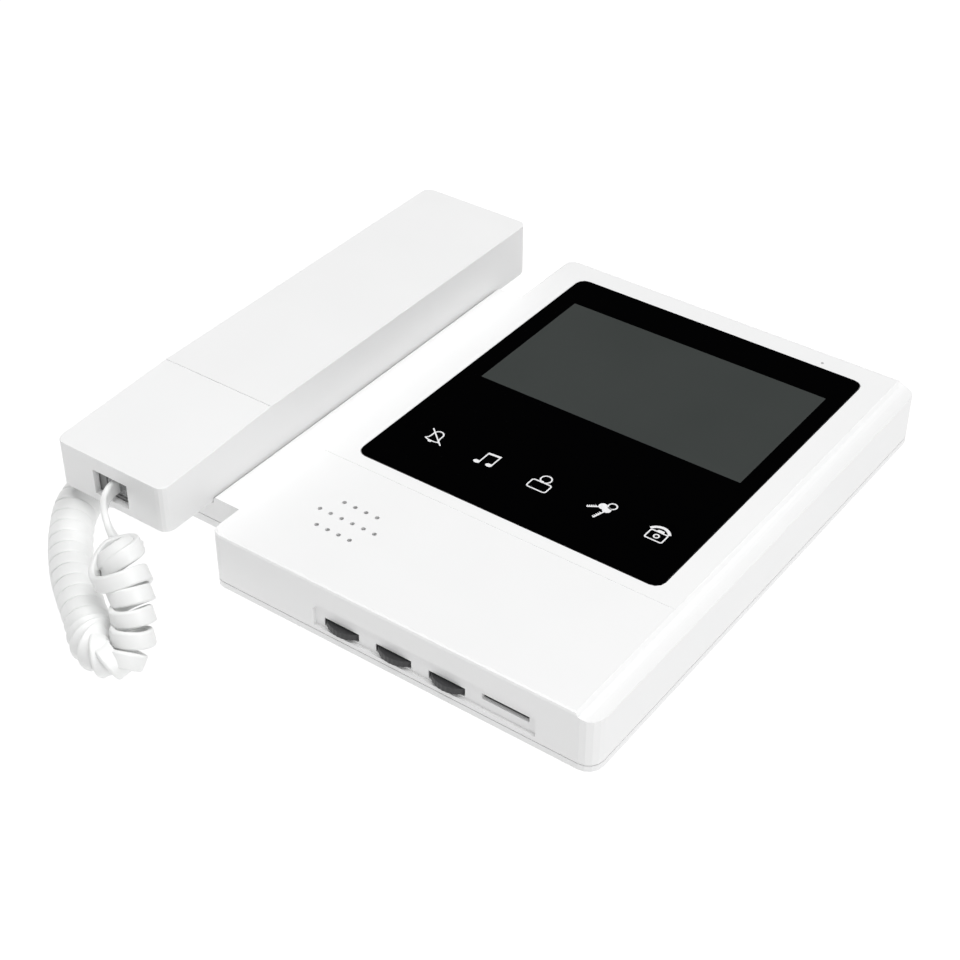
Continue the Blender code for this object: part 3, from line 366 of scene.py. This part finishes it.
def new_piece(name, bm, material, body=None):
    mesh = bpy.data.meshes.new(name)
    bmesh.ops.recalc_face_normals(bm, faces=bm.faces)
    bm.to_mesh(mesh)
    bm.free()
    mesh.materials.append(material)
    piece = bpy.data.objects.new(name, mesh)
    SCENE.collection.objects.link(piece)
    if body:
        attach(piece, body)
    return piece


def catmull_rom(a, b, c, d, t):
    """The value at t between b and c on the smooth curve through a, b, c and d."""
    return 0.5 * (2 * b + (c - a) * t + (2 * a - 5 * b + 4 * c - d) * t ** 2
                  + (3 * b - a - 3 * c + d) * t ** 3)


def smooth_route(points, steps=16):
    """Points along a Catmull-Rom curve through a route."""
    knots = [Vector(p) for p in points]
    knots = [2 * knots[0] - knots[1]] + knots + [2 * knots[-1] - knots[-2]]
    route = []
    for a, b, c, d in zip(knots, knots[1:], knots[2:], knots[3:]):
        route += [catmull_rom(a, b, c, d, i / steps) for i in range(steps)]
    route.append(knots[-2])
    return route


def smoothstep(t):
    t = min(1.0, max(0.0, t))
    return t * t * (3 - 2 * t)


# Curly cord: one flat ribbon wound into a left-handed coil, with an uncoiled lead at each end

RIBBON_WIDTH = 5.0 * MM
RIBBON_THICKNESS = 1.9 * MM
RIBBON_EDGE = 0.7 * MM
EDGE_STEPS = 4
RIBBON_CREASE_DEGREES = 50
COIL_RADIUS = 5.55 * MM
STEPS_PER_TURN = 36
LEAD_ROUTE_STEPS = 24

# The turns lie on the floor, go round a tight bend, and rise to the handset
FLOOR_TURNS, FLOOR_PITCH_MM = 14, 5.13
BEND_TURNS, BEND_PITCH_MM = 5, 2.92
RISE_PITCHES_MM = (4.4, 5.7, 5.6, 5.0, 4.8, 3.8, 3.6)
FIRST_START_MM = 0.5
SPLIT_TURN = 17.0
LAST_TURN = 25.9
AXIS_REACH = 2.5 * MM

# Turns whose pitch is under the ribbon's width and CROWDING_SPARE lean on each other, fully so
# when it is CROWDING_RANGE less
CROWDING_SPARE = 0.4 * MM
CROWDING_RANGE = 1.1 * MM
MOST_TILT_DEGREES = 62

# How a ring leans after so many turns: aside and back in degrees, then how far it stands out and
# up in millimetres. The last loop stands out, as a wide ring over the rest
RING_SHAPES = (
    (14.3, 0, 0, 0.0, 0.0),
    (15.5, 16, 6, 0.0, 0.0),
    (16.5, 27, 12, 0.0, 0.0),
    (17.5, 38, 20, 0.0, 0.0),
    (18.5, 34, 34, 0.0, 0.0),
    (19.5, 20, 42, 0.0, 0.0),
    (20.5, 12, 20, 0.0, 0.0),
    (21.5, 16, 20, 0.0, 0.0),
    (23.3, 18, 20, 0.0, 0.0),
    (23.75, 18, 34, 3.4, 1.8),
    (24.0, 18, 46, 2.4, 5.6),
    (24.25, 18, 40, 0.8, 4.6),
    (24.6, 20, 24, 0.0, 1.4),
    (25.0, 22, 20, 0.0, 1.0),
)

# A lead turns its flat side over TWIST_LENGTH, from the coil's to its own
TWIST_LENGTH = 9 * MM
LEAD_STEP = 1.2 * MM
FLOOR_CLEARANCE = 0.05 * MM
HANDSET_LEAD_NORMAL = (0.81, 0.587, 0.0)
COIL_ROUTE_MM = (
    (-94.8, -81.5, 7.2), (-94.6, -86.0, 6.9), (-93.6, -90.4, 6.6), (-91.2, -95.4, 6.5),
    (-87.7, -99.9, 6.5), (-82.3, -106.0, 6.5), (-75.4, -112.6, 6.5), (-68.2, -118.5, 6.5),
    (-60.8, -123.5, 6.5), (-52.7, -128.6, 6.5), (-46.4, -132.5, 6.5), (-44.4, -133.7, 6.5),
    (-39.8, -135.6, 6.5), (-35.2, -134.8, 6.6), (-32.9, -132.0, 7.4), (-33.5, -129.5, 10.5),
    (-36.2, -126.2, 14.5), (-38.6, -123.6, 18.0), (-42.5, -120.2, 21.0), (-46.1, -117.8, 23.0),
    (-50.0, -115.9, 24.6),
)
BASE_LEAD_NORMAL = (0.0, 0.0, 1.0)
BASE_LEAD_ROUTE_MM = (
    (-76.0, -80.2, 12.6), (-76.6, -82.4, 12.2), (-78.8, -83.6, 10.6), (-82.4, -82.8, 7.4),
    (-86.2, -81.7, 3.6), (-89.6, -81.4, 1.9),
)
HANDSET_LEAD_ROUTE_MM = (
    (-53.5, -114.3, 19.7), (-54.8, -111.9, 19.7), (-56.8, -110.7, 21.4), (-58.9, -110.2, 24.0),
    (-61.3, -109.0, 25.7), (-64.7, -106.5, 26.1),
    (-68.6, -102.4, 25.2), (-71.2, -97.6, 24.7), (-71.6, -94.2, 24.6),
)


def turn_starts():
    """How far along the coil's middle line each turn starts."""
    pitches = ([FLOOR_PITCH_MM] * FLOOR_TURNS + [BEND_PITCH_MM] * BEND_TURNS
               + list(RISE_PITCHES_MM))
    starts = [FIRST_START_MM * MM]
    for pitch in pitches:
        starts.append(starts[-1] + pitch * MM)
    return starts


TURN_STARTS = turn_starts()


def coil_line():
    """The coil's middle line as (distance, point) pairs."""
    route = smooth_route([Vector(p) * MM for p in COIL_ROUTE_MM])
    line, walked = [(0.0, route[0])], 0.0
    for p, q in zip(route, route[1:]):
        walked += (q - p).length
        line.append((walked, q))
    return line


def on_line(line, distance):
    """The point at a distance along the line, running straight on past either end."""
    distance = max(distance, 0.0)
    for (a, p), (b, q) in zip(line, line[1:]):
        if b >= distance:
            return p.lerp(q, (distance - a) / (b - a))
    (a, p), (b, q) = line[-2:]
    return q + (q - p).normalized() * (distance - b)


def turn_distance(turn):
    """How far along the coil's middle line the ribbon is after so many turns."""
    starts = TURN_STARTS
    starts = [2 * starts[0] - starts[1]] + starts + [2 * starts[-1] - starts[-2]]
    k = min(max(int(turn), 0), len(starts) - 4)
    return catmull_rom(*starts[k:k + 4], turn - k)


def ring_shape(turn):
    """How far the turn leans aside and back, and stands out and up, between the listed ones."""
    if turn <= RING_SHAPES[0][0]:
        return RING_SHAPES[0][1:]
    for low, high in zip(RING_SHAPES, RING_SHAPES[1:]):
        if turn <= high[0]:
            t = (turn - low[0]) / (high[0] - low[0])
            return tuple(a + (b - a) * t for a, b in zip(low[1:], high[1:]))
    return RING_SHAPES[-1][1:]


def coil_point(line, turn):
    """The ribbon's middle after so many turns, the way out from the coil there, and its axis."""
    distance = turn_distance(turn)
    middle = on_line(line, distance)
    ahead, behind = on_line(line, distance + AXIS_REACH), on_line(line, distance - AXIS_REACH)
    axis = (ahead - behind).normalized()
    right = axis.cross(Vector((0, 0, 1))).normalized()
    up = right.cross(axis)
    yaw_angle, back_angle, flare, lift = ring_shape(turn)
    yaw = Matrix.Rotation(math.radians(yaw_angle), 3, up)
    axis, right = yaw @ axis, yaw @ right
    back = Matrix.Rotation(math.radians(back_angle), 3, right)
    axis, up = back @ axis, back @ up
    angle = math.tau * turn - math.pi / 2
    out = right * math.cos(angle) + up * math.sin(angle)
    return middle + out * (COIL_RADIUS + flare * MM) + axis * lift * MM, out, axis


def coil_tilt(line, turn):
    """Turns closer than the ribbon is wide lean on each other like shingles."""
    here = coil_point(line, turn)[0]
    pitch = ((coil_point(line, turn + 1)[0] - here).length
             + (here - coil_point(line, turn - 1)[0]).length) / 2
    crowding = smoothstep((RIBBON_WIDTH + CROWDING_SPARE - pitch) / CROWDING_RANGE)
    most = math.sin(math.radians(MOST_TILT_DEGREES))
    return crowding * math.asin(min(most, RIBBON_THICKNESS / pitch))


def coil_stations(first, last):
    """(point, face normal) pairs along the coil between two turns."""
    line = coil_line()
    count = round((last - first) * STEPS_PER_TURN)
    stations = []
    for i in range(count + 1):
        turn = first + (last - first) * i / count
        point, out, axis = coil_point(line, turn)
        tilt = coil_tilt(line, turn)
        stations.append((point, out * math.cos(tilt) + axis * math.sin(tilt)))
    return stations


def lead_stations(route_mm, start, end, start_normal, end_normal):
    """(point, face normal) pairs along a lead. start or end is the coil's end point, or None."""
    points = [Vector(p) * MM for p in route_mm]
    points = ([start] if start else []) + points + ([end] if end else [])
    route = smooth_route(points, LEAD_ROUTE_STEPS)
    length = sum((q - p).length for p, q in zip(route, route[1:]))
    stations, walked, last = [], 0.0, None
    for i, point in enumerate(route):
        walked += (point - route[i - 1]).length if i else 0.0
        if last is not None and walked - last < LEAD_STEP and i < len(route) - 1:
            continue
        last = walked
        gone = walked if start else length - walked
        share = smoothstep(gone / TWIST_LENGTH)
        share = share if start else 1 - share
        stations.append((point, start_normal.lerp(end_normal, share)))
    return stations


def ribbon_section():
    """The cross-section as (across the width, through the thickness) points, round its edges."""
    half_width = RIBBON_WIDTH / 2 - RIBBON_EDGE
    half_height = RIBBON_THICKNESS / 2 - RIBBON_EDGE
    section = []
    for corner, (sx, sy) in enumerate(((1, 1), (-1, 1), (-1, -1), (1, -1))):
        for i in range(EDGE_STEPS + 1):
            angle = math.pi / 2 * (corner + i / EDGE_STEPS)
            section.append((sx * half_width + RIBBON_EDGE * math.cos(angle),
                            sy * half_height + RIBBON_EDGE * math.sin(angle)))
    return section


def make_ribbon(name, stations):
    """Sweeps the cross-section along the stations, flat side to each face normal."""
    bm = bmesh.new()
    section = ribbon_section()
    rings = []
    for i, (point, normal) in enumerate(stations):
        before, after = stations[max(i - 1, 0)][0], stations[min(i + 1, len(stations) - 1)][0]
        ahead = (after - before).normalized()
        face = (normal - ahead * normal.dot(ahead)).normalized()
        across = ahead.cross(face)
        ring = [point + across * u + face * v for u, v in section]
        rings.append([bm.verts.new((v.x, v.y, max(v.z, FLOOR_CLEARANCE))) for v in ring])
    count = len(section)
    for ring, following in zip(rings, rings[1:]):
        for i in range(count):
            j = (i + 1) % count
            bm.faces.new((ring[i], ring[j], following[j], following[i]))
    bm.faces.new(rings[0])
    bm.faces.new(rings[-1])
    piece = new_piece(name, bm, MATERIALS["white_cord"])
    piece.data.shade_smooth()
    piece.data.set_sharp_from_angle(angle=math.radians(RIBBON_CREASE_DEGREES))
    return piece


def make_cord():
    """The base half of the cord lies still. The other half stretches from it to the handset."""
    coil_a = coil_stations(0.0, SPLIT_TURN)
    coil_b = coil_stations(SPLIT_TURN, LAST_TURN)
    base_lead = lead_stations(BASE_LEAD_ROUTE_MM, None, coil_a[0][0], Vector(BASE_LEAD_NORMAL),
                              coil_a[0][1])
    handset_lead = lead_stations(HANDSET_LEAD_ROUTE_MM, coil_b[-1][0], None, coil_b[-1][1],
                                 Vector(HANDSET_LEAD_NORMAL))
    base_half = base_lead[:-1] + coil_a
    handset_half = coil_b[:-1] + handset_lead

    still = make_ribbon("curly_cord_base_half", base_half)
    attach(still, "base")
    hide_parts("cord_coil", "base_lead")

    moving = make_ribbon("curly_cord_handset_half", handset_half)
    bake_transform(moving)
    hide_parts("cord_coil_rise", "handset_lead")


# Printing on the glass

PRINT_HEIGHT = 0.03 * MM
PRINT_RISE = 0.00004 * MM
STROKE = 0.46 * MM
DISPLAY_CENTRE = (25.0 * MM, 46.35 * MM)
DISPLAY_SIZE_MM = (95.04, 53.86)
DISPLAY_CORNER_MM = 0.25
ICON_Y = -15.5 * MM
KEY_TEETH = 5
KEY_BOW_RADIUS_MM = 1.4


def arc(centre, radius, start, end, steps=16):
    """Points on an arc or an ellipse, angles in degrees. radius is one number or (across, up)."""
    across, up = radius if isinstance(radius, tuple) else (radius, radius)
    angles = [math.radians(start + (end - start) * i / steps) for i in range(steps + 1)]
    return [(centre[0] + across * math.cos(a), centre[1] + up * math.sin(a)) for a in angles]


def circle(centre, radius, steps=23):
    """Points all the way round, the last one short of the first."""
    return arc(centre, radius, 0, 345, steps)


def rounded_box(low, high, radius, steps=5):
    (x0, y0), (x1, y1) = low, high
    points = []
    for centre, start in (((x1 - radius, y1 - radius), 0), ((x0 + radius, y1 - radius), 90),
                          ((x0 + radius, y0 + radius), 180), ((x1 - radius, y0 + radius), 270)):
        points += arc(centre, radius, start, start + 90, steps)
    return points


def add_shape(bm, centre, outline):
    """A filled outline in millimetres round a centre. Each next shape is a little higher."""
    count = len(outline)
    height = PRINT_HEIGHT + (len(bm.verts) + 2 * count) * PRINT_RISE
    low, high = ([bm.verts.new((centre[0] + x * MM, centre[1] + y * MM, GLASS_TOP + z))
                  for x, y in outline] for z in (0, height))
    bm.faces.new(low)
    bm.faces.new(high)
    for i in range(count):
        j = (i + 1) % count
        bm.faces.new((low[i], low[j], high[j], high[i]))


def add_stroke(bm, centre, points, closed=False, width=STROKE / MM):
    """One band of even width along points in millimetres, mitred where it turns."""
    spots = [Vector((x, y)) for x, y in points]
    count = len(spots)
    outer, inner = [], []
    for i, spot in enumerate(spots):
        before = spots[i - 1] if i or closed else None
        after = spots[(i + 1) % count] if i < count - 1 or closed else None
        arrive = (spot - before if before is not None else after - spot).normalized()
        leave = (after - spot).normalized() if after is not None else arrive
        side = (arrive.orthogonal() + leave.orthogonal()).normalized()
        reach = width / 2 / max(0.5, side.dot(arrive.orthogonal()))
        outer.append(spot + side * reach)
        inner.append(spot - side * reach)
    height = PRINT_HEIGHT + len(bm.verts) * PRINT_RISE
    rails = []
    for line, z in ((outer, 0), (outer, height), (inner, height), (inner, 0)):
        rails.append([bm.verts.new((centre[0] + v.x * MM, centre[1] + v.y * MM, GLASS_TOP + z))
                      for v in line])
    for i in range(count if closed else count - 1):
        j = (i + 1) % count
        for rail, following in zip(rails, rails[1:] + rails[:1]):
            bm.faces.new((rail[i], rail[j], following[j], following[i]))
    if not closed:
        bm.faces.new([rail[0] for rail in rails])
        bm.faces.new([rail[-1] for rail in rails])


# Each symbol is drawn in millimetres from its centre

def draw_mute(bm, centre):
    dome = arc((0.1, 1.2), (1.7, 1.9), 0, 180, 14)
    mouth = [(2.35, -1.9), (1.2, -2.25), (-1.2, -2.25), (-2.4, -1.8)]
    add_stroke(bm, centre, [(1.75, 0.2), (1.95, -0.9)] + mouth + [(-1.75, -0.9), (-1.55, 0.2)]
               + dome[::-1], closed=True)
    add_stroke(bm, centre, arc((-0.3, -2.3), 0.55, 200, 340, 8), width=0.5)
    add_stroke(bm, centre, [(-3.2, 3.3), (3.9, -2.8)])


def draw_melody(bm, centre):
    add_stroke(bm, centre, [(-1.4, -2.2), (-1.4, 3.0)])
    add_stroke(bm, centre, [(2.8, -1.8), (2.8, 3.4)])
    add_shape(bm, centre, [(-1.6, 2.35), (3.03, 2.75), (3.03, 3.6), (-1.6, 3.2)])
    for x, y in ((-2.25, -2.45), (1.95, -2.05)):
        add_shape(bm, centre, circle((x, y), (1.12, 0.78)))


def draw_person(bm, centre):
    add_stroke(bm, centre, rounded_box((-3.1, -3.5), (3.6, 0.5), 0.8), closed=True)
    add_stroke(bm, centre, circle((0.35, 2.25), 1.75), closed=True)
    add_shape(bm, centre, rounded_box((-0.75, 0.2), (0.45, 1.1), 0.3))


def draw_key(bm, centre, bow, tip):
    """A filled key from its bow to its tip, with teeth along one side."""
    start, end = Vector(bow), Vector(tip)
    ahead = (end - start).normalized()
    side = ahead.orthogonal()
    length = (end - start).length
    edge = [start + side * 0.4, end + side * 0.3, end + ahead * 0.3 - side * 0.05]
    for i in range(KEY_TEETH):
        far = length * (0.97 - 0.13 * i)
        edge += [start + ahead * far - side * 0.85, start + ahead * (far - 0.36) - side * 0.05]
    edge.append(start - side * 0.4)
    add_shape(bm, centre, [tuple(p) for p in edge])
    add_shape(bm, centre, circle(start, KEY_BOW_RADIUS_MM))


def draw_keys(bm, centre):
    draw_key(bm, centre, (-0.3, 1.5), (-4.1, -1.2))
    draw_key(bm, centre, (1.5, 0.7), (0.1, -4.3))
    add_stroke(bm, centre, circle((2.1, 3.0), 1.35), closed=True)


def draw_phone(bm, centre):
    add_stroke(bm, centre, rounded_box((-2.9, -3.1), (2.8, 0.9), 0.5), closed=True)
    add_shape(bm, centre, [(-1.4, 0.9), (1.4, 0.9), (1.0, 1.9), (-0.8, 1.9)])
    add_stroke(bm, centre, circle((0.0, -1.1), 0.8, 15), closed=True)
    back = arc((-0.2, -1.9), (4.6, 5.6), 38, 142, 14)
    belly = arc((-0.2, -1.9), (3.6, 4.6), 128, 52, 14)
    add_shape(bm, centre, back + [(-3.1, 0.9)] + belly + [(2.7, 0.9)])


# The middle of each symbol along the row, in millimetres, and what draws it
ICONS = {
    "icon_mute": (-14.6, draw_mute),
    "icon_melody": (5.0, draw_melody),
    "icon_person": (24.7, draw_person),
    "icon_keys": (46.0, draw_keys),
    "icon_phone": (65.6, draw_phone),
}


def make_printing():
    white_print = make_print_material()
    for name, (x_mm, draw) in ICONS.items():
        bm = bmesh.new()
        draw(bm, (x_mm * MM, ICON_Y))
        new_piece(name, bm, white_print, "base")
    bm = bmesh.new()
    x, y = DISPLAY_SIZE_MM[0] / 2, DISPLAY_SIZE_MM[1] / 2
    add_shape(bm, DISPLAY_CENTRE, rounded_box((-x, -y), (x, y), DISPLAY_CORNER_MM))
    new_piece("display_window", bm, MATERIALS["screen"], "base")


make_camera()
make_studio()
dress_nodes()
make_cord()
make_printing()
